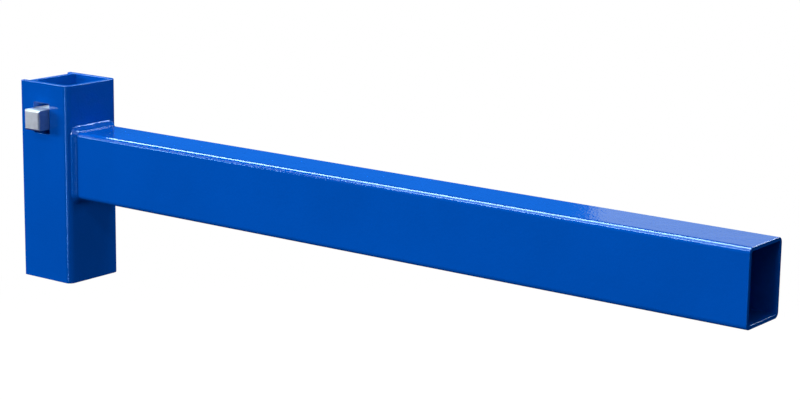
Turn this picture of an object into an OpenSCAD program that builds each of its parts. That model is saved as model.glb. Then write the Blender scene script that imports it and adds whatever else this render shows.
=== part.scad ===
// Cantilever rack arm: a rectangular tube welded square onto a sleeve that drops over a rack upright.
// The arm points along +X and +Z is up. The origin is on the middle line of the upright's passage,
// at the height of the arm's middle line. All sizes are in millimetres.

/* [Arm tube] */
// Length of the arm from the sleeve's front face to its open end
arm_len = 1105; // [300:5:1500]
// Height of the arm's section
arm_h = 100; // [70:2:130]
// Width of the arm's section
arm_w = 80; // [50:2:84]
// Wall of the arm's tube
arm_wall = 5; // [3:0.5:6]
// Outer corner radius of the arm's tube
arm_corner_r = 7.5; // [6.5:0.5:12]

/* [Sleeve] */
// Clear depth of the upright's passage, along the arm
passage_x = 69; // [60:1:90]
// Clear width of the upright's passage, across the arm
passage_y = 86; // [84:1:110]
// Height of the sleeve
sleeve_h = 295; // [240:5:400]
// Height of the sleeve's top above the arm's top
sleeve_above = 68; // [60:1:100]
// Plate of the folded channel
plate_t = 8; // [5:0.5:9]
// Inner radius of the channel's two folds
fold_inner_r = 2; // [1:0.5:6]
// Thickness of the back plate
back_t = 8; // [5:0.5:10]
// How far the flanges reach past the back plate
back_inset = 10; // [8:0.5:20]

/* [Locking pin] */
// Side of the square bar
pin_side = 30; // [20:0.5:34]
// Middle of the pin behind the sleeve's front face
pin_back = 53.5; // [48:0.5:58]
// Middle of the pin above the arm's top
pin_up = 15; // [8:0.5:20]
// How far the pin stands out of the slotted flange
pin_out_near = 20; // [8:0.5:40]
// How far the pin stands out of the flange that seats it
pin_out_far = 20; // [5:0.5:40]
// Chamfer at the pin's two ends
pin_chamfer = 2; // [0.5:0.25:4]
// Broken long edges of the bar
pin_edge = 0.8; // [0.2:0.1:2]

/* [Slot and seat] */
// Room beside the pin in the slot, on each side
slot_room_side = 1; // [0.5:0.5:6]
// Room over the pin in the slot
slot_room_above = 8.5; // [4:0.5:16]
// Room under the pin in the slot
slot_room_below = 7; // [2:0.5:12]
// Corner radius of the slot
slot_corner_r = 2; // [0.5:0.5:5]
// Clearance round the pin in its square seat in the far flange
seat_clearance = 0.3; // [0.1:0.05:1]

/* [Welds] */
// Leg of the fillet weld round the arm's root
root_leg = 8; // [4:0.5:9]
// Hollow of the root weld's face
root_hollow = 0.7; // [0.3:0.1:1.5]
// How deep the root weld melts into the tube's wall
root_fusion = 0.6; // [0.2:0.1:1.5]
// Leg of the two seams that hold the back plate
seam_leg = 6.5; // [3:0.5:7.5]
// Hollow of the seams' faces
seam_hollow = 0.5; // [0.2:0.1:1]
// Where each seam stops short of the sleeve's ends
seam_short = 2; // [0:0.5:20]

/* [Hidden] */

$fn = 64;
// A cutter's reach past the face that it cuts
over = 1;

paint = [0.0, 0.31, 0.70];
zinc = [0.75, 0.77, 0.77];

fold_outer_r = fold_inner_r + plate_t;
sleeve_w = passage_y + 2 * plate_t;
front_x = passage_x / 2 + plate_t;
plate_x = -passage_x / 2 - back_t;
rear_x = plate_x - back_inset;
sleeve_top = arm_h / 2 + sleeve_above;
sleeve_bottom = sleeve_top - sleeve_h;

pin_x = front_x - pin_back;
pin_z = arm_h / 2 + pin_up;
pin_near_y = -sleeve_w / 2 - pin_out_near;
pin_far_y = sleeve_w / 2 + pin_out_far;
slot_bottom = pin_z - pin_side / 2 - slot_room_below;
slot_top = pin_z + pin_side / 2 + slot_room_above;

// A rectangle from two corners, with all four corners rounded
module rounded_rect(low, high, r) {
  translate([low[0] + r, low[1]])
    square([high[0] - low[0] - 2 * r, high[1] - low[1]]);
  translate([low[0], low[1] + r])
    square([high[0] - low[0], high[1] - low[1] - 2 * r]);
  for (x = [low[0] + r, high[0] - r], y = [low[1] + r, high[1] - r])
    translate([x, y]) circle(r);
}

// A rectangle that is rounded only at its two corners towards +X
module front_rounded_rect(x0, x1, half_y, r) {
  translate([x0, -half_y]) square([x1 - r - x0, 2 * half_y]);
  translate([x0, -half_y + r]) square([x1 - x0, 2 * (half_y - r)]);
  for (s = [-1, 1]) translate([x1 - r, s * (half_y - r)]) circle(r);
}

// Carries a plan drawn across the arm, width by height, along +X
module along_arm(x0, length) {
  translate([x0, 0, 0]) rotate([90, 0, 90]) linear_extrude(length) children();
}

// Carries a plan drawn in width along X by height along Z, from y0 to y1
module across_sleeve(y0, y1) {
  translate([0, y1, 0]) rotate([90, 0, 0]) linear_extrude(y1 - y0) children();
}

// Section of a fillet weld in the corner of the axes, one leg along each, with a hollow face.
// It reaches back past the x leg, for a plate that rounds away there, and is sunk into the wall beside the y leg.
module fillet_section(leg, hollow, back = 0, sunk = 0) {
  chord = leg * sqrt(2);
  face_r = (chord * chord / 4 + hollow * hollow) / (2 * hollow);
  mid = leg / 2 + (face_r - hollow) / sqrt(2);
  difference() {
    polygon([[-sunk, -back], [leg, -back], [leg, 0], [0, leg], [-sunk, leg]]);
    translate([mid, mid]) circle(face_r, $fn = 360);
  }
}

// Section of the weld round the tube's root
module root_section() {
  fillet_section(root_leg, root_hollow, back = fold_outer_r, sunk = root_fusion);
}

// Outline of the whole sleeve in plan, filled
module sleeve_outline() {
  front_rounded_rect(rear_x, front_x, sleeve_w / 2, fold_outer_r);
}

// Channel folded from one plate, with the oversize slot in its near flange and the pin's seat in the far one
module sleeve_channel() {
  seat = pin_side + 2 * seat_clearance;
  color(paint)
  difference() {
    translate([0, 0, sleeve_bottom]) linear_extrude(sleeve_h) difference() {
      sleeve_outline();
      front_rounded_rect(rear_x - over, front_x - plate_t, passage_y / 2, fold_inner_r);
    }
    across_sleeve(-sleeve_w / 2 - over, -passage_y / 2 + over)
      rounded_rect([pin_x - pin_side / 2 - slot_room_side, slot_bottom],
                   [pin_x + pin_side / 2 + slot_room_side, slot_top], slot_corner_r);
    across_sleeve(passage_y / 2 - over, sleeve_w / 2 + over)
      translate([pin_x - seat / 2, pin_z - seat / 2]) square(seat);
  }
}

// Flat plate between the flanges, which closes the passage
module back_plate() {
  color(paint)
  translate([plate_x, -passage_y / 2, sleeve_bottom]) cube([back_t, passage_y, sleeve_h]);
}

// Section of the arm at a depth under its outer faces
module arm_section(depth) {
  rounded_rect([-arm_w / 2 + depth, -arm_h / 2 + depth],
               [arm_w / 2 - depth, arm_h / 2 - depth], arm_corner_r - depth);
}

// Rectangular tube that butts on the sleeve's front face and is open at its far end.
// At its root, the outer skin of the wall has melted into the weld.
module arm_tube() {
  color(paint) {
    along_arm(front_x, root_leg) difference() {
      arm_section(root_fusion);
      arm_section(arm_wall);
    }
    along_arm(front_x + root_leg, arm_len - root_leg) difference() {
      arm_section(0);
      arm_section(arm_wall);
    }
  }
}

// Bead along one side of the tube: half_far is the tube's half size towards the bead
module bead_side(half_far, half_along) {
  translate([-half_along, half_far, 0]) rotate([90, 0, 90])
    linear_extrude(2 * half_along) root_section();
}

// Fillet weld all round the tube's root. It fills down onto the folds where they round away.
module root_weld() {
  flat_y = arm_w / 2 - arm_corner_r;
  flat_z = arm_h / 2 - arm_corner_r;
  color(paint)
  difference() {
    translate([front_x, 0, 0]) rotate([90, 0, 90]) {
      for (a = [0, 180]) rotate(a) bead_side(arm_h / 2, flat_y);
      for (a = [90, 270]) rotate(a) bead_side(arm_w / 2, flat_z);
      for (a = [0:90:270], c = [[flat_y, flat_z]])
        translate([c[0] * sign(cos(a + 45)), c[1] * sign(sin(a + 45)), 0]) rotate(a)
          rotate_extrude(angle = 90) translate([arm_corner_r, 0]) root_section();
    }
    translate([0, 0, sleeve_bottom]) linear_extrude(sleeve_h) sleeve_outline();
  }
}

// Upright weld seam in the corner behind the back plate. side is -1 for the near flange and 1 for the far one.
module back_seam(side) {
  color(paint)
  translate([plate_x, side * passage_y / 2, sleeve_bottom + seam_short])
    mirror([0, side > 0 ? 1 : 0, 0]) mirror([1, 0, 0])
      linear_extrude(sleeve_h - 2 * seam_short) fillet_section(seam_leg, seam_hollow);
}

// Square bar with broken long edges and chamfered ends
module locking_pin() {
  h = pin_side / 2;
  e = h - pin_edge;
  c = h - pin_chamfer;
  n = pin_near_y;
  f = pin_far_y;
  ends = [
    [n, -c], [n + pin_chamfer, -h], [f - pin_chamfer, -h], [f, -c],
    [f, c], [f - pin_chamfer, h], [n + pin_chamfer, h], [n, c]
  ];
  color(zinc)
  translate([pin_x, 0, pin_z])
  intersection() {
    across_sleeve(n, f) polygon([[-h, -e], [-e, -h], [e, -h], [h, -e], [h, e], [e, h], [-e, h], [-h, e]]);
    translate([-h - over, 0, 0]) rotate([90, 0, 90]) linear_extrude(pin_side + 2 * over) polygon(ends);
    translate([0, 0, -h - over]) linear_extrude(pin_side + 2 * over)
      polygon([for (p = ends) [p[1], p[0]]]);
  }
}

sleeve_channel();
back_plate();
arm_tube();
root_weld();
back_seam(-1);  // back_seam_near
back_seam(1);  // back_seam_far
locking_pin();
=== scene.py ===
"""A cantilever rack arm in glossy blue powder coat, with its bright locking pin, in a plain pale studio.

All lengths are metres in the part's own frame: X runs along the arm, Z is up, and the origin is on the
middle line of the upright's passage at the height of the arm's middle line.
"""

from math import pi, radians

import bmesh
import bpy
import numpy as np
from bpy.props import FloatProperty, FloatVectorProperty, IntProperty, PointerProperty, StringProperty
from mathutils import Matrix, Vector


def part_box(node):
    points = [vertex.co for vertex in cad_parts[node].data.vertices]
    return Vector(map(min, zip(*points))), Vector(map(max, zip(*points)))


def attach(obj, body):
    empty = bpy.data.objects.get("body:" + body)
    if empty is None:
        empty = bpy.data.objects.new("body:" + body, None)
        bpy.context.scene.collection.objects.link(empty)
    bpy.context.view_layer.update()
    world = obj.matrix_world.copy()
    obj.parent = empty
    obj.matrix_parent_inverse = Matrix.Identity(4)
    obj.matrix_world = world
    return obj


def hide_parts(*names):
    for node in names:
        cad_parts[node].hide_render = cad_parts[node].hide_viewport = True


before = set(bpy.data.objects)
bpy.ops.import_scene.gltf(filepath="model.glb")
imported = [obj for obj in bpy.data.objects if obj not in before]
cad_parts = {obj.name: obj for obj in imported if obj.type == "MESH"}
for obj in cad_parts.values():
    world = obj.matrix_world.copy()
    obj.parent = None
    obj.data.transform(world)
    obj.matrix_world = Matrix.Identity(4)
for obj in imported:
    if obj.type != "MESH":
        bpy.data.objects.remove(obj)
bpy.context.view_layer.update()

bl_info = {
    "name": "Cantilever rack arm",
    "version": (1, 0, 0),
    "blender": (4, 5, 0),
    "location": "View3D > Sidebar > Rack arm",
    "description": "Builds a welded cantilever rack arm with its locking pin, and a plain studio round it",
    "category": "Add Mesh",
}

MM = 0.001
BODY = "root"
BLACK = "#000000"

SLEEVE_LOW, SLEEVE_HIGH = (Vector(c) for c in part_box("sleeve_channel"))
PLATE_LOW, PLATE_HIGH = (Vector(c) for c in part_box("back_plate"))
ARM_LOW, ARM_HIGH = (Vector(c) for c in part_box("arm_tube"))
WELD_HIGH = Vector(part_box("root_weld")[1])
SEAM_LOW, SEAM_HIGH = (Vector(c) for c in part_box("back_seam_far"))
PIN_LOW, PIN_HIGH = (Vector(c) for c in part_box("locking_pin"))

# Thickness of the channel's plate, and the legs of the root weld and of the back seams
PLATE_T = SLEEVE_HIGH.y - PLATE_HIGH.y
ROOT_LEG = WELD_HIGH.x - ARM_LOW.x
SEAM_LEG = PLATE_LOW.x - SEAM_LOW.x

# Points of a piece that lie closer together than this are merged
SAME_POINT = 0.002 * MM


class SleeveSettings(bpy.types.PropertyGroup):
    """Sizes of the sleeve that the frame's boxes don't give."""

    fold_radius: FloatProperty(
        name="Fold radius", description="Outer radius of the two folds", default=10 * MM, unit="LENGTH")
    rim_round: FloatProperty(
        name="Rim rounding", description="Rounding of the channel's cut edges under the coat",
        default=0.9 * MM, unit="LENGTH")
    back_round: FloatProperty(
        name="Back rounding", description="Rounding of the back plate's edges under the coat",
        default=0.36 * MM, unit="LENGTH")
    slot_side: FloatProperty(
        name="Room beside the pin", description="Slot's room on each side of the pin",
        default=1 * MM, unit="LENGTH")
    slot_above: FloatProperty(
        name="Room over the pin", description="Slot's room over the pin", default=8.5 * MM, unit="LENGTH")
    slot_below: FloatProperty(
        name="Room under the pin", description="Slot's room under the pin", default=7 * MM, unit="LENGTH")
    slot_corner: FloatProperty(
        name="Slot corner", description="Corner radius of the slot", default=2 * MM, unit="LENGTH")
    seat_clearance: FloatProperty(
        name="Seat clearance", description="Room round the pin in the far flange",
        default=0.3 * MM, unit="LENGTH")


class ArmSettings(bpy.types.PropertyGroup):
    """Sizes of the tube's wall."""

    wall: FloatProperty(name="Wall", description="Wall of the tube", default=5 * MM, unit="LENGTH")
    corner_radius: FloatProperty(
        name="Corner radius", description="Outer corner radius of the tube",
        default=7.5 * MM, unit="LENGTH")
    rim_round: FloatProperty(
        name="Rim rounding", description="Rounding of the open end's edges",
        default=0.7 * MM, unit="LENGTH")
    fusion: FloatProperty(
        name="Weld fusion", description="Depth that the weld melts into the wall",
        default=0.6 * MM, unit="LENGTH")


class WeldSettings(bpy.types.PropertyGroup):
    """Form of the painted weld beads."""

    root_hollow: FloatProperty(
        name="Root hollow", description="Hollow of the root weld's face", default=0.7 * MM, unit="LENGTH")
    seam_hollow: FloatProperty(
        name="Seam hollow", description="Hollow of the back seams' faces",
        default=0.5 * MM, unit="LENGTH")
    lip: FloatProperty(
        name="Toe lip", description="Height of the rolled toes of a bead",
        default=0.6 * MM, unit="LENGTH")
    toe_room: FloatProperty(
        name="Room at the fold", description="How far the bead's toe stays back on each fold",
        default=2.8 * MM, unit="LENGTH")
    ripple: FloatProperty(
        name="Ripple height", description="Height of the ripples of a bead",
        default=0.12 * MM, unit="LENGTH")
    ripple_pitch: FloatProperty(
        name="Ripple pitch", description="Distance between the ripples", default=3.4 * MM, unit="LENGTH")


class PinSettings(bpy.types.PropertyGroup):
    """Edges of the square bar."""

    chamfer: FloatProperty(
        name="Chamfer", description="Chamfer at the bar's two ends", default=2 * MM, unit="LENGTH")
    edge: FloatProperty(
        name="Edge radius", description="Radius of the bar's long edges", default=0.8 * MM, unit="LENGTH")


class FinishSettings(bpy.types.PropertyGroup):
    """Colours and grain of the two finishes."""

    paint: StringProperty(
        name="Paint", description="Colour of the powder coat, as an sRGB hex value", default="#004BAC")
    paint_gloss_tint: StringProperty(
        name="Gloss tint", description="Tint of the coat's mirror gloss, as an sRGB hex value",
        default="#E0F2FF")
    paint_roughness: FloatProperty(
        name="Paint roughness", description="Roughness of the baked coat", default=0.07, min=0, max=1,
        subtype="FACTOR")
    peel_grain: FloatProperty(
        name="Orange peel grain", description="Width of one lump of the orange peel",
        default=3.2 * MM, unit="LENGTH")
    peel_height: FloatProperty(
        name="Orange peel height", description="Height of the orange peel's lumps",
        default=0.18 * MM, unit="LENGTH")
    sag_width: FloatProperty(
        name="Sag width", description="Width of the coat's slow waves", default=22.22 * MM, unit="LENGTH")
    cloud_width: FloatProperty(
        name="Cloud width", description="Width of the coat's lighter and darker clouds",
        default=111.1 * MM, unit="LENGTH")
    zinc: StringProperty(
        name="Zinc", description="Colour of the zinc plate, as an sRGB hex value", default="#D6D4D0")
    zinc_roughness: FloatProperty(
        name="Zinc roughness", description="Roughness of the zinc plate", default=0.37, min=0, max=1,
        subtype="FACTOR")
    draw_line: FloatProperty(
        name="Draw line", description="Distance between the bar's draw lines",
        default=0.714 * MM, unit="LENGTH")
    haze_grain: FloatProperty(
        name="Haze grain", description="Width of the zinc's hazy patches",
        default=6.25 * MM, unit="LENGTH")


class StageSettings(bpy.types.PropertyGroup):
    """Camera and studio."""

    camera_place: FloatVectorProperty(
        name="Camera place", description="Where the camera stands", default=(2.2801, -2.2184, 0.6315),
        unit="LENGTH")
    camera_yaw: FloatProperty(
        name="Camera yaw", description="Turn from looking along +Y, to the left",
        default=radians(36.972), unit="ROTATION")
    camera_pitch: FloatProperty(
        name="Camera pitch", description="How far the camera looks down",
        default=radians(12.353), unit="ROTATION")
    camera_roll: FloatProperty(
        name="Camera roll", description="Tilt of the frame", default=radians(0.816), unit="ROTATION")
    lens: FloatProperty(
        name="Lens", description="Focal length in millimetres", default=97.015, unit="CAMERA")
    floor_z: FloatProperty(
        name="Floor height", description="Height of the floor in the part's frame",
        default=-0.9, unit="LENGTH")
    floor_radius: FloatProperty(
        name="Floor radius", description="Radius of the round floor", default=14, unit="LENGTH")
    floor_rings: IntProperty(
        name="Floor rings", description="Rings in the floor's mesh", default=12, min=2)
    fill: FloatProperty(
        name="Fill", description="Strength of the even light from all round", default=0.14, min=0)


def linear(hex_value):
    """An sRGB hex value as linear red, green, blue and alpha."""
    srgb = np.array([int(hex_value[i:i + 2], 16) for i in (1, 3, 5)]) / 255
    low = srgb / 12.92
    high = ((srgb + 0.055) / 1.055) ** 2.4
    return (*np.where(srgb <= 0.04045, low, high).tolist(), 1.0)


def add_node(tree, kind, settings=None, inputs=None):
    """Adds one node. Each input is a plain value, or the output socket that is linked to it."""
    new = tree.nodes.new(kind)
    for key, value in (settings or {}).items():
        setattr(new, key, value)
    for key, value in (inputs or {}).items():
        if isinstance(value, bpy.types.NodeSocket):
            tree.links.new(value, new.inputs[key])
        else:
            new.inputs[key].default_value = value
    return new


def blank_material(name):
    """A material with an empty node tree and its output."""
    material = bpy.data.materials.new(name)
    material.use_nodes = True
    material.node_tree.nodes.clear()
    output = material.node_tree.nodes.new("ShaderNodeOutputMaterial")
    return material, material.node_tree, output


def noise_span(low, high):
    """Inputs of a Map Range node that turn a noise texture's usual span, 0.3 to 0.7, to low and high."""
    return {"From Min": 0.3, "From Max": 0.7, "To Min": low, "To Max": high}


def powder_coat(name, finish):
    """Polyester powder coat, sprayed dry on shot steel and baked until it flows out.

    It has an even, deep colour and a high gloss. The low lumps of orange peel break up the edges of what
    it mirrors. They seem to be under 2 mm wide on the real coat, which is too fine to show, so they are
    drawn about twice as coarse. Slow sags bend long reflections and make the gloss a little uneven. The
    pigment takes the red out of the weak mirror image, so the gloss is tinted.
    """
    material, tree, output = blank_material(name)
    place = add_node(tree, "ShaderNodeTexCoord").outputs["Object"]
    peel = add_node(tree, "ShaderNodeTexNoise", inputs={
        "Vector": place, "Scale": 1 / finish.peel_grain, "Detail": 1.0, "Roughness": 0.4})
    sag = add_node(tree, "ShaderNodeTexNoise", inputs={
        "Vector": place, "Scale": 1 / finish.sag_width, "Detail": 1.0, "Roughness": 0.4})
    sag_share = 1.2
    height = add_node(tree, "ShaderNodeMath", {"operation": "MULTIPLY_ADD"}, {
        0: sag.outputs["Fac"], 1: sag_share, 2: peel.outputs["Fac"]})
    bump = add_node(tree, "ShaderNodeBump", inputs={
        "Strength": 1.0, "Distance": finish.peel_height, "Height": height.outputs["Value"]})
    cloud = add_node(tree, "ShaderNodeTexNoise", inputs={
        "Vector": place, "Scale": 1 / finish.cloud_width, "Detail": 3.0, "Roughness": 0.55})
    shade = add_node(tree, "ShaderNodeMapRange", inputs={
        "Value": cloud.outputs["Fac"], **noise_span(0.96, 1.04)})
    base = add_node(tree, "ShaderNodeVectorMath", {"operation": "SCALE"}, {
        0: linear(finish.paint)[:3], "Scale": shade.outputs["Result"]})
    gloss = add_node(tree, "ShaderNodeMapRange", inputs={
        "Value": sag.outputs["Fac"],
        **noise_span(0.85 * finish.paint_roughness, 1.15 * finish.paint_roughness)})
    shader = add_node(tree, "ShaderNodeBsdfPrincipled", inputs={
        "Base Color": base.outputs["Vector"], "Roughness": gloss.outputs["Result"], "IOR": 1.5,
        "Specular Tint": linear(finish.paint_gloss_tint), "Normal": bump.outputs["Normal"]})
    tree.links.new(shader.outputs["BSDF"], output.inputs["Surface"])
    return material


def zinc_plate(name, finish):
    """Bright zinc, electroplated on cold drawn square bar.

    It is a light, plain grey metal with a soft shine. Fine draw lines run along the bar, under a faint
    crystalline haze. Real draw lines are too fine to show, so they are drawn about 0.7 mm apart.
    """
    material, tree, output = blank_material(name)
    place = add_node(tree, "ShaderNodeTexCoord").outputs["Object"]
    along_bar = (1.0, 0.03, 1.0)
    along = add_node(tree, "ShaderNodeMapping", inputs={"Vector": place, "Scale": along_bar})
    lines = add_node(tree, "ShaderNodeTexNoise", inputs={
        "Vector": along.outputs["Vector"], "Scale": 1 / finish.draw_line, "Detail": 3.0, "Roughness": 0.6})
    haze = add_node(tree, "ShaderNodeTexNoise", inputs={
        "Vector": place, "Scale": 1 / finish.haze_grain, "Detail": 3.0, "Roughness": 0.6})
    line_depth = 0.006 * MM
    bump = add_node(tree, "ShaderNodeBump", inputs={
        "Strength": 1.0, "Distance": line_depth, "Height": lines.outputs["Fac"]})
    shade = add_node(tree, "ShaderNodeMapRange", inputs={
        "Value": haze.outputs["Fac"], **noise_span(0.93, 1.05)})
    base = add_node(tree, "ShaderNodeVectorMath", {"operation": "SCALE"}, {
        0: linear(finish.zinc)[:3], "Scale": shade.outputs["Result"]})
    rough = add_node(tree, "ShaderNodeMapRange", inputs={
        "Value": lines.outputs["Fac"],
        **noise_span(0.85 * finish.zinc_roughness, 1.15 * finish.zinc_roughness)})
    shader = add_node(tree, "ShaderNodeBsdfPrincipled", inputs={
        "Base Color": base.outputs["Vector"], "Metallic": 1.0, "Roughness": rough.outputs["Result"],
        "Normal": bump.outputs["Normal"]})
    tree.links.new(shader.outputs["BSDF"], output.inputs["Surface"])
    return material


# Each of the record's slots, with its material's name and maker
FINISHES = {
    "powder_coat": ("signal_blue_powder_coat", powder_coat),
    "zinc_plate": ("bright_zinc_plate", zinc_plate),
}


def finish_material(slot):
    """The material of one of the record's slots, made when it is first asked for."""
    name, make = FINISHES[slot]
    return bpy.data.materials.get(name) or make(name, bpy.context.scene.rack_arm_finish)


def sheet_faces(rows, cols, ring, first):
    """Quads of a grid of rows by cols points, counted from first. A ring's last column meets its first."""
    r = np.arange(rows - 1)[:, None]
    c = np.arange(cols if ring else cols - 1)[None, :]
    right = (c + 1) % cols
    quads = np.stack([r * cols + c, r * cols + right, (r + 1) * cols + right, (r + 1) * cols + c], -1)
    return quads.reshape(-1, 4) + first


def finished_piece(name, grids, slot, nodes, caps=()):
    """Makes one closed mesh of several grids of points, each given with whether it is a ring.

    Points that coincide are merged and the normals turned outwards. caps are closed loops of points that
    become flat faces. Normals are weighted by area, so that a flat face shades flat up to the roundings
    beside it. The piece gets its slot's material, rides on the part and stands for its nodes.
    """
    points, faces, count = [], [], 0
    for grid, ring in grids:
        rows, cols = grid.shape[:2]
        points.append(grid.reshape(-1, 3))
        faces.extend(sheet_faces(rows, cols, ring, count).tolist())
        count += rows * cols
    for loop in caps:
        points.append(loop)
        faces.append(list(range(count, count + len(loop))))
        count += len(loop)
    mesh = bpy.data.meshes.new(name)
    mesh.from_pydata(np.concatenate(points).tolist(), [], faces)
    work = bmesh.new()
    work.from_mesh(mesh)
    bmesh.ops.remove_doubles(work, verts=work.verts, dist=SAME_POINT)
    bmesh.ops.recalc_face_normals(work, faces=work.faces)
    work.to_mesh(mesh)
    work.free()
    mesh.shade_smooth()
    piece = bpy.data.objects.new(name, mesh)
    bpy.context.scene.collection.objects.link(piece)
    piece.modifiers.new("flats_stay_flat", "WEIGHTED_NORMAL")
    mesh.materials.append(finish_material(slot))
    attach(piece, BODY)
    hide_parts(*nodes)


def rim_profile(thickness, rounding, steps=5):
    """The points across a plate's cut edge: how far in from the edge, and how deep under the first face.

    Two quarter circles of the rounding join the faces to the flat of the edge.
    """
    turn = np.linspace(0, pi / 2, steps + 1)
    inset = rounding * (1 - np.sin(turn))
    depth = rounding * (1 - np.cos(turn))
    return np.concatenate([inset, inset[::-1]]), np.concatenate([depth, thickness - depth[::-1]])


def quarter_points(count, arc):
    """One quarter of a rounded rectangle's outline, from the middle of a corner to the next one's.

    Gives each point's angle off the side's normal, and its place from 0 to 1 between the two corner
    centres: half an arc, the straight side, half an arc. The last point is left to the next quarter.
    """
    side = count - 2 * arc
    half_arc = pi / 4 * np.arange(arc) / arc
    angle = np.concatenate([half_arc - pi / 4, np.zeros(side + 1), half_arc[1:]])
    place = np.concatenate([np.zeros(arc), np.linspace(0, 1, side + 1), np.ones(arc - 1)])
    return angle, place


def rounded_outline(low, high, radius, counts, arc):
    """A rounded rectangle as a corner centre and a unit normal for each of its points.

    A point is its centre plus the radius times its normal, and any outset adds to that radius. The points
    go anticlockwise from the middle of the low right corner. counts are those from corner to corner on an
    upright and on a level side, and arc those on half a corner.
    """
    x0, y0, x1, y1 = low[0] + radius, low[1] + radius, high[0] - radius, high[1] - radius
    corners = np.array([(x1, y0), (x1, y1), (x0, y1), (x0, y0), (x1, y0)])
    centres, normals = [], []
    for quarter in range(4):
        angle, place = quarter_points(counts[quarter % 2], arc)
        angle = angle + quarter * pi / 2
        centres.append(corners[quarter] + place[:, None] * (corners[quarter + 1] - corners[quarter]))
        normals.append(np.stack([np.cos(angle), np.sin(angle)], -1))
    return np.concatenate(centres), np.concatenate(normals)


def plain_outline(xs, zs):
    """A rectangle's outline through the given places, in the same order as rounded_outline."""
    return np.concatenate([
        np.stack([np.full(len(zs) - 1, xs[-1]), zs[:-1]], -1),
        np.stack([xs[:0:-1], np.full(len(xs) - 1, zs[-1])], -1),
        np.stack([np.full(len(zs) - 1, xs[0]), zs[:0:-1]], -1),
        np.stack([xs[:-1], np.full(len(xs) - 1, zs[0])], -1)])


def fold_columns(x_flat, half_y, front_x, radius, steps=20):
    """The channel's outer face in plan, and the way into the plate at each point.

    It runs from the near flange at x_flat round both folds, each a quarter circle, to the far flange.
    """
    turn = np.linspace(0, pi / 2, steps + 1)
    x_fold, y_fold = front_x - radius, half_y - radius
    near = np.stack([x_fold + radius * np.sin(turn), -y_fold - radius * np.cos(turn)], -1)
    far = np.stack([x_fold + radius * np.cos(turn), y_fold + radius * np.sin(turn)], -1)
    front = np.stack([np.full(3, front_x), y_fold * np.array([-0.5, 0, 0.5])], -1)
    face = np.concatenate([[[x_flat, -half_y]], near, front, far, [[x_flat, half_y]]])
    into = np.concatenate([
        [[0.0, 1.0]], np.stack([-np.sin(turn), np.cos(turn)], -1), np.tile([-1.0, 0.0], (3, 1)),
        np.stack([-np.cos(turn), -np.sin(turn)], -1), [[0.0, -1.0]]])
    return face, into


def flange_with_hole(side, half_y, xs, zs, low, high, radius, rounding):
    """A flat flange with a rounded hole, as grids: its two faces, and the hole's wall.

    A face spreads from the hole's rim to the flange's outline, point by point along straight lines. The
    wall is the hole's outline with a rounded rim. side is -1 for the near flange and 1 for the far one.
    """
    centres, normals = rounded_outline(low, high, radius, counts=(len(zs) - 1, len(xs) - 1), arc=6)
    inset, depth = rim_profile(PLATE_T, rounding)
    wall = centres + (radius + inset[:, None, None]) * normals
    spread = np.array([0, 0.15, 0.5, 1])[:, None, None]
    face = wall[0] * (1 - spread) + plain_outline(xs, zs) * spread

    def placed(flat, deep):
        y = side * (half_y - deep)
        return np.stack([flat[..., 0], np.broadcast_to(y, flat.shape[:-1]), flat[..., 1]], -1)

    sheets = placed(face, 0.0), placed(face, PLATE_T), placed(wall, depth[:, None])
    return [(sheet, True) for sheet in sheets]


def channel_grids(sleeve):
    """The folded channel as grids.

    The plate is drawn as if flat: a flange with the slot, a stretch that the folds bend, and a flange
    with the seat. A rounded rim runs round the whole plate.
    """
    half_y, front_x, rear_x = SLEEVE_HIGH.y, SLEEVE_HIGH.x, SLEEVE_LOW.x
    border, gap = sleeve.rim_round, sleeve.seat_clearance
    x_flat = 0.5 * (PIN_HIGH.x + sleeve.slot_side + front_x - sleeve.fold_radius)
    xs = np.linspace(rear_x + border, x_flat, 22)
    zs = np.linspace(SLEEVE_LOW.z + border, SLEEVE_HIGH.z - border, 30)
    slot_low = (PIN_LOW.x - sleeve.slot_side, PIN_LOW.z - sleeve.slot_below)
    slot_high = (PIN_HIGH.x + sleeve.slot_side, PIN_HIGH.z + sleeve.slot_above)
    seat_low = (PIN_LOW.x - gap, PIN_LOW.z - gap)
    seat_high = (PIN_HIGH.x + gap, PIN_HIGH.z + gap)
    grids = flange_with_hole(-1, half_y, xs, zs, slot_low, slot_high, sleeve.slot_corner, border)
    grids += flange_with_hole(1, half_y, xs, zs, seat_low, seat_high, gap, gap)
    face, into = fold_columns(x_flat, half_y, front_x, sleeve.fold_radius)
    for deep in (0.0, PLATE_T):
        plan = face + deep * into
        grid = np.empty((len(zs), len(plan), 3))
        grid[..., :2] = plan
        grid[..., 2] = zs[:, None]
        grids.append((grid, False))
    return grids + [(plate_rim(xs, zs, face, into, border), True)]


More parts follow.
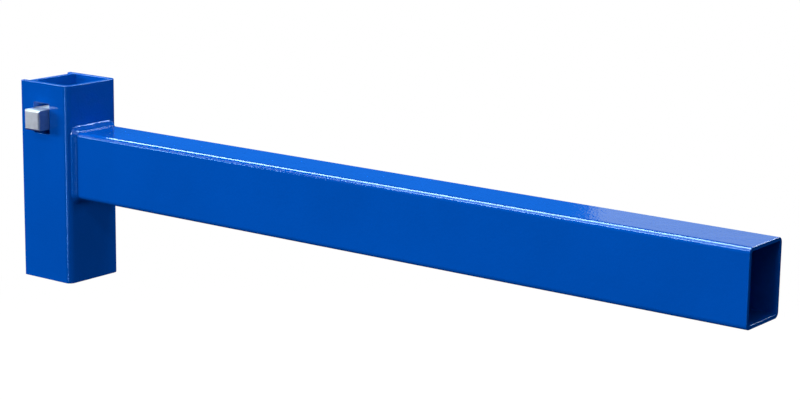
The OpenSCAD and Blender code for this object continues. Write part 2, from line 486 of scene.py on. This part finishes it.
def plate_rim(xs, zs, face, into, rounding):
    """The rounded rim round the folded plate, as a ring of rim profiles along its outline.

    The outline runs along the plate's foot from the near flange to the far one, up that flange's rear
    edge, back along the top, and down the near flange's rear edge. Each profile reaches out of the
    outline by the rounding and goes through the plate.
    """
    near = np.stack([xs[:-1], np.full(len(xs) - 1, -SLEEVE_HIGH.y)], -1)
    far = near[::-1] * (1, -1)
    plan = np.concatenate([near, face, far])
    way_in = np.concatenate([
        np.tile([0.0, 1.0], (len(near), 1)), into, np.tile([0.0, -1.0], (len(far), 1))])
    rise = zs[1:-1]

    def rear_edge(end, heights):
        return np.column_stack([np.tile(plan[end], (len(rise), 1)), heights])

    outline = np.concatenate([
        np.column_stack([plan, np.full(len(plan), zs[0])]), rear_edge(-1, rise),
        np.column_stack([plan[::-1], np.full(len(plan), zs[-1])]), rear_edge(0, rise[::-1])])
    out = np.zeros_like(outline)
    out[outline[:, 0] == xs[0], 0] = -1
    out[outline[:, 2] == zs[0], 2] = -1
    out[outline[:, 2] == zs[-1], 2] = 1
    deep = np.zeros_like(outline)
    deep[:, :2] = np.concatenate([
        way_in, np.tile(way_in[-1], (len(rise), 1)), way_in[::-1], np.tile(way_in[0], (len(rise), 1))])
    inset, depth = rim_profile(PLATE_T, rounding)
    return outline + (rounding - inset)[:, None, None] * out + depth[:, None, None] * deep


def slab_grids(low, high, rounding):
    """A plate with rounded edges: a rounded rectangle in plan, carried up and drawn in at both ends."""
    corner = 2 * rounding
    centres, normals = rounded_outline(low[:2], high[:2], corner, counts=(10, 10), arc=4)
    inset, depth = rim_profile(high[2] - low[2], rounding, steps=4)
    plan = centres + (corner - inset[:, None, None]) * normals
    z = np.broadcast_to((low[2] + depth)[:, None, None], (*plan.shape[:2], 1))
    grid = np.concatenate([plan, z], -1)
    return [(grid, True)], [grid[0], grid[-1]]


def tube_grid(arm):
    """The tube's whole skin as one grid: its wall's section, carried round a rounded rectangle.

    The section runs along the outer face from the root, where the weld has eaten into it, round the open
    end's two rounded edges, and back along the inside. Each of its points has a place along X and a depth
    under the outer face.
    """
    root_x, end_x, wall = ARM_LOW.x, ARM_HIGH.x, arm.wall
    inset, depth = rim_profile(wall, arm.rim_round)
    toe_x = root_x + ROOT_LEG
    x = np.concatenate([[root_x, root_x, toe_x, toe_x], end_x - inset, [root_x]])
    deep = np.concatenate([[wall, arm.fusion, arm.fusion, 0], depth, [wall]])
    half_y, half_z, radius = ARM_HIGH.y, ARM_HIGH.z, arm.corner_radius
    centres, normals = rounded_outline(
        (-half_y, -half_z), (half_y, half_z), radius, counts=(40, 40), arc=16)
    section = centres + (radius - deep[:, None, None]) * normals
    return np.concatenate([np.broadcast_to(x[:, None, None], (*section.shape[:2], 1)), section], -1)


def bead_section(leg, hollow, lip, across):
    """A bead's face from the toe on one plate to the toe on the other, at the places across, from 0 to 1.

    The face is a shallow circular hollow between the ends of the two legs. A lip lifts it off that circle
    all along, and rolls steeply down to the plate at each toe. Gives the distance along each leg, and the
    face's outward direction.
    """
    chord = leg * np.sqrt(2)
    radius = (chord * chord / 4 + hollow * hollow) / (2 * hollow)
    mid = leg / 2 + (radius - hollow) / np.sqrt(2)
    spread = np.arcsin(chord / 2 / radius)
    angle = 1.25 * pi + spread * (1 - 2 * across)
    normal = -np.stack([np.cos(angle), np.sin(angle)], -1)
    steepness = 24
    roll = 1 - np.abs(2 * across - 1) ** steepness
    return mid - (radius - lip * roll)[:, None] * normal, normal


def ripples(along, across, weld):
    """Height of a bead's ripples: curved waves that trail at its middle and die out at its toes.

    The wave's phase and height wander by slow waves, whose lengths are no whole multiples of the pitch.
    """
    turn = 2 * pi * along / weld.ripple_pitch
    middle = 4 * across * (1 - across)
    trail = 2.4
    phase = turn - trail * middle + 0.9 * np.sin(turn / 7.3)
    swell = 0.5 * np.sin(turn / 4.7) + 0.4 * np.sin(turn / 11.9 + 1.3)
    return weld.ripple * middle * (np.sin(phase) + swell)


def bead_face(leg, hollow, along, count, weld):
    """A rippled bead's face: how far it is off each of its two plates, at count places across it.

    The places across crowd towards the toes, as a cosine does. A ripple lifts the face along its normal.
    """
    across = 0.5 - 0.5 * np.cos(pi * np.linspace(0, 1, count))
    legs, lean = bead_section(leg, hollow, weld.lip, across)
    lift = ripples(along[None, :], across[:, None], weld)
    return legs[:, 0, None] + lift * lean[:, 0, None], legs[:, 1, None] + lift * lean[:, 1, None]


def root_weld_grid(sleeve, arm, weld):
    """The bead round the tube's root as one grid: its section carried round the tube, closed behind.

    out is the distance off the tube, and rise the distance off the sleeve's front. Where that front
    rounds away into a fold, the bead's toe stays back by toe_room and follows the fold down.
    """
    half_y, half_z, radius = ARM_HIGH.y, ARM_HIGH.z, arm.corner_radius
    centres, normals = rounded_outline(
        (-half_y, -half_z), (half_y, half_z), radius, counts=(110, 90), arc=12)
    outline = centres + radius * normals
    steps = np.linalg.norm(np.diff(outline, axis=0, append=outline[:1]), axis=1)
    along = np.concatenate([[0], np.cumsum(steps)[:-1]])
    out, rise = bead_face(ROOT_LEG, weld.root_hollow, along, 25, weld)

    # Behind its face, the bead is sunk a little into the tube and the sleeve
    sunk = 0.4 * MM
    behind = np.array([
        (-sunk, ROOT_LEG - sunk), (-sunk, -sunk), (ROOT_LEG / 2, -sunk), (ROOT_LEG - sunk, -sunk)])
    out = np.concatenate([out, np.tile(behind[:, :1], len(along)), out[:1]])
    rise = np.concatenate([rise, np.tile(behind[:, 1:], len(along)), rise[:1]])

    # The toe stays back where the tube faces sideways, and only the bead's low part does so
    low_part = np.clip(1 - rise / (0.6 * ROOT_LEG), 0, 1)
    sideways = normals[:, 0] ** 2
    out = out - weld.toe_room * low_part * np.clip(out / ROOT_LEG, 0, 1) * sideways
    section = centres + (radius + out)[..., None] * normals

    # The fold's quarter circle falls away under the toe
    fold = sleeve.fold_radius
    past = np.clip(np.abs(section[..., 0]) - (SLEEVE_HIGH.y - fold), 0, fold)
    fall = fold - np.sqrt(fold ** 2 - past ** 2)
    at_toe = np.sqrt(np.clip(1 - rise / (2.2 * weld.lip), 0, 1))
    x = ARM_LOW.x + rise - fall * at_toe
    return np.concatenate([x[..., None], section], -1)


def back_seam_grid(side, weld):
    """The seam behind the back plate as one grid: its section carried up the corner.

    Towards both ends, the section shrinks as a quarter circle does, to a tenth of its size. side is -1
    for the near flange and 1 for the far one.
    """
    low, high = SEAM_LOW.z, SEAM_HIGH.z
    taper = 1.2 * SEAM_LEG
    turn = np.linspace(0, pi / 2, 10)
    along = np.concatenate([
        low + taper * (1 - np.cos(turn))[:-1],
        np.linspace(low + taper, high - taper, 280),
        high - taper * (1 - np.sin(turn))[1:]])
    from_end = np.minimum(along - low, high - along)
    size = np.sqrt(np.clip(1 - np.clip(1 - from_end / taper, 0, 1) ** 2, 0.1 ** 2, 1))
    off_plate, off_flange = bead_face(SEAM_LEG, weld.seam_hollow, along, 19, weld)
    sunk = np.full((1, len(along)), -0.3 * MM)
    off_plate = np.concatenate([size * off_plate, sunk, size * off_plate[:1]])
    off_flange = np.concatenate([size * off_flange, sunk, size * off_flange[:1]])
    x = PLATE_LOW.x - off_plate
    y = side * (PLATE_HIGH.y - off_flange)
    return np.stack([x, y, np.broadcast_to(along, x.shape)], -1)


def pin_grids(pin):
    """The square bar as one grid: a rounded square carried along Y, drawn in at both ends by the chamfer.

    The chamfer's own two edges are slightly rounded, over a share of it that is called soft.
    """
    half = 0.5 * (PIN_HIGH.x - PIN_LOW.x)
    mid = 0.5 * (PIN_LOW + PIN_HIGH)
    soft = 0.12
    # How far each section is drawn in and how far from the end it lies, in shares of the chamfer
    inset, start = pin.chamfer * np.transpose([
        (1.5, 0), (1.15, 0), (1, 0.1 * soft), (1 - 0.4 * soft, 0.4 * soft), (1 - soft, soft),
        (soft, 1 - soft), (0.4 * soft, 1 - 0.4 * soft), (0, 1), (0, 1.4)])
    y = np.concatenate([PIN_LOW.y + start, PIN_HIGH.y - start[::-1]])
    inset = np.concatenate([inset, inset[::-1]])
    centres, normals = rounded_outline((-half, -half), (half, half), pin.edge, counts=(16, 16), arc=4)
    square = (centres + pin.edge * normals) * ((half - inset) / half)[:, None, None]
    grid = np.stack([
        mid.x + square[..., 0], np.broadcast_to(y[:, None], square.shape[:2]), mid.z + square[..., 1]], -1)
    return [(grid, True)], [grid[0], grid[-1]]


class RACKARM_OT_sleeve(bpy.types.Operator):
    """Builds the folded channel with its slot and seat, and the flat plate that closes it"""

    bl_idname = "rack_arm.sleeve"
    bl_label = "Sleeve"

    def execute(self, context):
        sleeve = context.scene.rack_arm_sleeve
        finished_piece("folded_sleeve", channel_grids(sleeve), "powder_coat", ["sleeve_channel"])
        grids, caps = slab_grids(PLATE_LOW, PLATE_HIGH, sleeve.back_round)
        finished_piece("sleeve_back", grids, "powder_coat", ["back_plate"], caps)
        return {"FINISHED"}


class RACKARM_OT_arm(bpy.types.Operator):
    """Builds the rectangular tube with its open end"""

    bl_idname = "rack_arm.arm"
    bl_label = "Arm"

    def execute(self, context):
        grid = tube_grid(context.scene.rack_arm_arm)
        finished_piece("rectangular_tube", [(grid, True)], "powder_coat", ["arm_tube"])
        return {"FINISHED"}


class RACKARM_OT_welds(bpy.types.Operator):
    """Builds the bead round the arm's root and the two seams behind the back plate"""

    bl_idname = "rack_arm.welds"
    bl_label = "Welds"

    def execute(self, context):
        scene = context.scene
        root = root_weld_grid(scene.rack_arm_sleeve, scene.rack_arm_arm, scene.rack_arm_weld)
        finished_piece("root_bead", [(root, True)], "powder_coat", ["root_weld"])
        for side, word in ((-1, "near"), (1, "far")):
            seam = back_seam_grid(side, scene.rack_arm_weld)
            caps = [seam[:-1, 0], seam[:-1, -1]]
            finished_piece(
                "seam_bead_" + word, [(seam, False)], "powder_coat", ["back_seam_" + word], caps)
        return {"FINISHED"}


class RACKARM_OT_locking_pin(bpy.types.Operator):
    """Builds the square bar that locks the sleeve to its upright"""

    bl_idname = "rack_arm.locking_pin"
    bl_label = "Locking pin"

    def execute(self, context):
        grids, caps = pin_grids(context.scene.rack_arm_pin)
        finished_piece("square_bar", grids, "zinc_plate", ["locking_pin"], caps)
        return {"FINISHED"}


def glow_material(name, hex_value, radiance):
    """A plain surface that shines evenly and isn't sampled as a lamp."""
    material, tree, output = blank_material(name)
    glow = add_node(tree, "ShaderNodeEmission", inputs={"Color": linear(hex_value), "Strength": radiance})
    tree.links.new(glow.outputs["Emission"], output.inputs["Surface"])
    material.cycles.emission_sampling = "NONE"
    return material


def floor_material():
    """Pale floor: near the object it is lit and takes its shadow, and it fades to white further off."""
    fade_from, fade_to = 1.2, 3.2
    grey, glow_strength = 0.25, 0.8
    material, tree, output = blank_material("pale_floor")
    place = add_node(tree, "ShaderNodeTexCoord").outputs["Object"]
    reach = add_node(tree, "ShaderNodeVectorMath", {"operation": "LENGTH"}, {0: place})
    far = add_node(tree, "ShaderNodeMapRange", {"interpolation_type": "SMOOTHSTEP"}, {
        "Value": reach.outputs["Value"], "From Min": fade_from, "From Max": fade_to})
    lit = add_node(tree, "ShaderNodeBsdfDiffuse", inputs={"Color": (grey, grey, grey, 1.0)})
    glow = add_node(tree, "ShaderNodeEmission", inputs={"Strength": glow_strength})
    near = add_node(tree, "ShaderNodeAddShader", inputs={
        0: lit.outputs["BSDF"], 1: glow.outputs["Emission"]})
    white = add_node(tree, "ShaderNodeEmission", inputs={"Strength": 1.0})
    mix = add_node(tree, "ShaderNodeMixShader", inputs={
        "Fac": far.outputs["Result"], 1: near.outputs["Shader"], 2: white.outputs["Emission"]})
    tree.links.new(mix.outputs["Shader"], output.inputs["Surface"])
    material.cycles.emission_sampling = "NONE"
    return material


def white_world(fill):
    """White to the camera and in reflections, and an even fill light otherwise, weaker from below."""
    world = bpy.data.worlds.new("plain_studio")
    world.use_nodes = True
    tree = world.node_tree
    tree.nodes.clear()
    output = tree.nodes.new("ShaderNodeOutputWorld")
    path = add_node(tree, "ShaderNodeLightPath")
    seen = add_node(tree, "ShaderNodeMath", {"operation": "ADD"}, {
        0: path.outputs["Is Camera Ray"], 1: path.outputs["Is Glossy Ray"]})
    seen = add_node(tree, "ShaderNodeMath", {"operation": "ADD", "use_clamp": True}, {
        0: seen.outputs["Value"], 1: path.outputs["Is Transmission Ray"]})
    way = add_node(tree, "ShaderNodeTexCoord")
    split = add_node(tree, "ShaderNodeSeparateXYZ", inputs={"Vector": way.outputs["Generated"]})
    share_from_below = 0.3
    strength = add_node(tree, "ShaderNodeMapRange", {"interpolation_type": "SMOOTHSTEP"}, {
        "Value": split.outputs["Z"], "From Min": -0.5, "From Max": 0.5,
        "To Min": share_from_below * fill, "To Max": fill})
    dim = add_node(tree, "ShaderNodeBackground", inputs={"Strength": strength.outputs["Result"]})
    white = add_node(tree, "ShaderNodeBackground", inputs={"Strength": 1.0})
    for background in (dim, white):
        background.inputs["Color"].default_value = (1, 1, 1, 1)
    mix = add_node(tree, "ShaderNodeMixShader", inputs={
        "Fac": seen.outputs["Value"], 1: dim.outputs["Background"], 2: white.outputs["Background"]})
    tree.links.new(mix.outputs["Shader"], output.inputs["Surface"])
    return world


def pale_floor(stage):
    """A round floor under the arm's middle: rings of points, whose radii grow as squares do."""
    arm_middle, ring_points, first_ring = 0.5, 64, 0.02
    angle = np.linspace(0, 2 * pi, ring_points, endpoint=False)
    radius = stage.floor_radius * np.linspace(first_ring, 1, stage.floor_rings)[:, None] ** 2
    grid = np.stack([radius * np.cos(angle), radius * np.sin(angle), 0 * radius * angle], -1)
    mesh = bpy.data.meshes.new("pale_floor")
    faces = sheet_faces(stage.floor_rings, ring_points, True, 0).tolist() + [list(range(ring_points))]
    mesh.from_pydata(grid.reshape(-1, 3).tolist(), [], faces)
    mesh.materials.append(floor_material())
    floor = bpy.data.objects.new("pale_floor", mesh)
    floor.location = (arm_middle, 0, stage.floor_z)
    floor.visible_diffuse = False
    bpy.context.scene.collection.objects.link(floor)


def soft_box(name, place, aim, size, radiance):
    """A rectangular soft box that faces aim. size is its length, as near to X as can be, and height."""
    lamp = bpy.data.lights.new(name, "AREA")
    lamp.shape = "RECTANGLE"
    lamp.size, lamp.size_y = size
    lamp.energy = radiance * pi * size[0] * size[1]
    box = bpy.data.objects.new(name, lamp)
    back = (Vector(place) - Vector(aim)).normalized()
    side = (Vector((1, 0, 0)) - back.x * back).normalized()
    turn = Matrix((side, back.cross(side), back)).transposed()
    box.matrix_world = Matrix.Translation(place) @ turn.to_4x4()
    box.visible_camera = False
    bpy.context.scene.collection.objects.link(box)


def card(name, corners, hex_value, radiance):
    """A flat four-cornered studio card that only reflections see."""
    mesh = bpy.data.meshes.new(name)
    mesh.from_pydata(corners, [], [tuple(range(len(corners)))])
    mesh.materials.append(glow_material(name, hex_value, radiance))
    piece = bpy.data.objects.new(name, mesh)
    piece.visible_camera = False
    piece.visible_diffuse = False
    piece.visible_shadow = False
    piece.visible_transmission = False
    bpy.context.scene.collection.objects.link(piece)


def flag(name, corners):
    """A black card: it keeps the white studio out of a reflection."""
    card(name, corners, BLACK, 0)


def upright(y, x_span, z_span):
    """Corners of a card that stands across Y."""
    (x0, x1), (z0, z1) = x_span, z_span
    return [(x0, y, z0), (x1, y, z0), (x1, y, z1), (x0, y, z1)]


def endways(x, y_span, z_span):
    """Corners of a card that stands across X."""
    (y0, y1), (z0, z1) = y_span, z_span
    return [(x, y0, z0), (x, y1, z0), (x, y1, z1), (x, y0, z1)]


def level(z, x_span, y_span):
    """Corners of a level card."""
    (x0, x1), (y0, y1) = x_span, y_span
    return [(x0, y0, z), (x1, y0, z), (x1, y1, z), (x0, y1, z)]


def along_arm(low, high, x_span):
    """Corners of a card that runs along X between two lines, each given by its place in Y and Z."""
    x0, x1 = x_span
    return [(x0, *low), (x1, *low), (x1, *high), (x0, *high)]


def soft_boxes():
    """The six lamps, each with its place, what it faces, its size and its radiance."""
    # Light the arm's top from above and, from close by, its near side
    soft_box("overhead_box", (0.3, 0.3, 3.5), (0.3, 0, 0.05), (2.6, 1.2), 12)
    soft_box("front_strip", (0.1, -1.15, 1.1), (0.1, 0, 0.05), (3.4, 0.18), 5)
    # Light the near faces from the front and from the left
    soft_box("key", (0.9, -4.6, 1.9), (0.6, 0, 0), (1.3, 0.9), 28)
    soft_box("left_box", (-10.4, -8.0, 3.2), (0.5, 0, 0), (5.0, 3.0), 31)
    # Light the sleeve's face towards the arm, and the back
    soft_box("side_box", (7.0, 6.0, 0.6), (0.3, 0, 0), (3.0, 3.0), 5.8)
    soft_box("rear_box", (0.6, 6.0, 1.2), (0.4, 0, 0), (3.0, 1.6), 10)


def reflected_cards(floor_z):
    """What the gloss shows of the studio: black flags round the object, and bright cards before them."""
    flag("back_flag", upright(1.9, (-4.5, 4.0), (floor_z, 2.6)))
    flag("front_flag", upright(-7.0, (-14.0, 6.0), (floor_z, 7.0)))
    flag("side_flag", endways(4.0, (-7.0, 1.9), (floor_z, 2.4)))
    card("floor_flag", level(floor_z + 2 * MM, (-8.0, 4.0), (-7.0, 2.2)), "#1E50FF", 0.12)

    # The arm's top mirrors a blue card along most of its length, and a paler one towards the free end
    card_seam = -0.255
    card("blue_card", upright(1.88, (-3.5, card_seam), (-0.1, 0.75)), "#308AFF", 0.93)
    card("pale_card", upright(1.88, (card_seam, 0.9), (-0.1, 0.75)), "#BCDAFF", 1.05)

    # The bright line along the root bead's toe. Two flags keep the soft boxes out of the bead.
    card("toe_card", upright(1.85, (1.0, 1.65), (1.15, 1.75)), "#D0E8FF", 45)
    flag("corner_flag", level(1.72, (0.45, 1.9), (-0.2, 0.6)))
    flag("left_flag", upright(-2.7, (-6.0, -1.6), (0.4, 2.2)))

    # The bright line along the top rim of the sleeve's front
    card("rim_card", upright(1.87, (0.7, 1.7), (0.9, 1.15)), "#FFFFFF", 10)

    # The rounding of the arm's near top edge mirrors, from its top down, a bright line, a darker stretch
    # that grows pale towards the free end, and a second bright line
    over_arm, pale_x = -0.05, -0.66
    card("edge_card", along_arm((over_arm, 1.5), (0.6, 1.5), (-1.65, 0.4)), "#C8F0FF", 20)
    flag("dark_between", along_arm((-1.6, 1.5), (over_arm, 1.5), (-4.0, pale_x)))
    card("pale_between", along_arm((-0.75, 1.5), (over_arm, 1.5), (pale_x, 0.4)), "#D8F0FF", 4)
    card("front_card", along_arm((-1.2, 1.1), (-1.0, 1.3), (pale_x, 0.42)), "#B0E0FF", 14)
    card("front_card_left", along_arm((-2.6, 0.45), (-2.55, 0.75), (-2.7, -1.8)), "#90D0FF", 20)

    # The light lines down the free end's near edge and down the sleeve's near fold
    low_span = (floor_z + 5 * MM, -0.3)
    card("end_card", upright(-2.8, (1.3, 1.75), low_span), "#7CB8FF", 2.5)
    card("fold_card", upright(-2.8, (0.136, 0.575), low_span), "#7CB8FF", 13)


def stage_camera(stage):
    """The camera at the photograph's viewing angle."""
    camera = bpy.data.cameras.new("camera")
    camera.lens = stage.lens
    camera.sensor_width = 36
    holder = bpy.data.objects.new("camera", camera)
    yaw = Matrix.Rotation(stage.camera_yaw, 4, "Z")
    pitch = Matrix.Rotation(pi / 2 - stage.camera_pitch, 4, "X")
    roll = Matrix.Rotation(stage.camera_roll, 4, "Z")
    holder.matrix_world = Matrix.Translation(stage.camera_place) @ yaw @ pitch @ roll
    bpy.context.scene.collection.objects.link(holder)
    return holder


class RACKARM_OT_studio(bpy.types.Operator):
    """Builds the pale floor, the soft boxes, the cards and the camera"""

    bl_idname = "rack_arm.studio"
    bl_label = "Studio"

    def execute(self, context):
        scene = context.scene
        stage = scene.rack_arm_stage
        scene.view_settings.view_transform = "Standard"
        scene.world = white_world(stage.fill)
        pale_floor(stage)
        soft_boxes()
        reflected_cards(stage.floor_z)
        scene.camera = stage_camera(stage)
        return {"FINISHED"}


class RACKARM_PT_panel(bpy.types.Panel):
    """Lists the steps and their settings in the sidebar"""

    bl_idname = "RACKARM_PT_panel"
    bl_label = "Rack arm"
    bl_space_type = "VIEW_3D"
    bl_region_type = "UI"
    bl_category = "Rack arm"

    def draw(self, context):
        for operator in OPERATORS:
            self.layout.operator(operator.bl_idname)
        for name in SETTINGS:
            group = getattr(context.scene, name)
            box = self.layout.box()
            for key in type(group).__annotations__:
                box.prop(group, key)


SETTINGS = {
    "rack_arm_sleeve": SleeveSettings,
    "rack_arm_arm": ArmSettings,
    "rack_arm_weld": WeldSettings,
    "rack_arm_pin": PinSettings,
    "rack_arm_finish": FinishSettings,
    "rack_arm_stage": StageSettings,
}
OPERATORS = (
    RACKARM_OT_sleeve, RACKARM_OT_arm, RACKARM_OT_welds, RACKARM_OT_locking_pin, RACKARM_OT_studio)


def register():
    for cls in (*SETTINGS.values(), *OPERATORS, RACKARM_PT_panel):
        bpy.utils.register_class(cls)
    for name, group in SETTINGS.items():
        setattr(bpy.types.Scene, name, PointerProperty(type=group))


def unregister():
    for name in SETTINGS:
        delattr(bpy.types.Scene, name)
    for cls in (RACKARM_PT_panel, *reversed(OPERATORS), *reversed(list(SETTINGS.values()))):
        bpy.utils.unregister_class(cls)


def main():
    register()
    for operator in OPERATORS:
        category, name = operator.bl_idname.split(".")
        getattr(getattr(bpy.ops, category), name)()


if __name__ == "__main__":
    main()
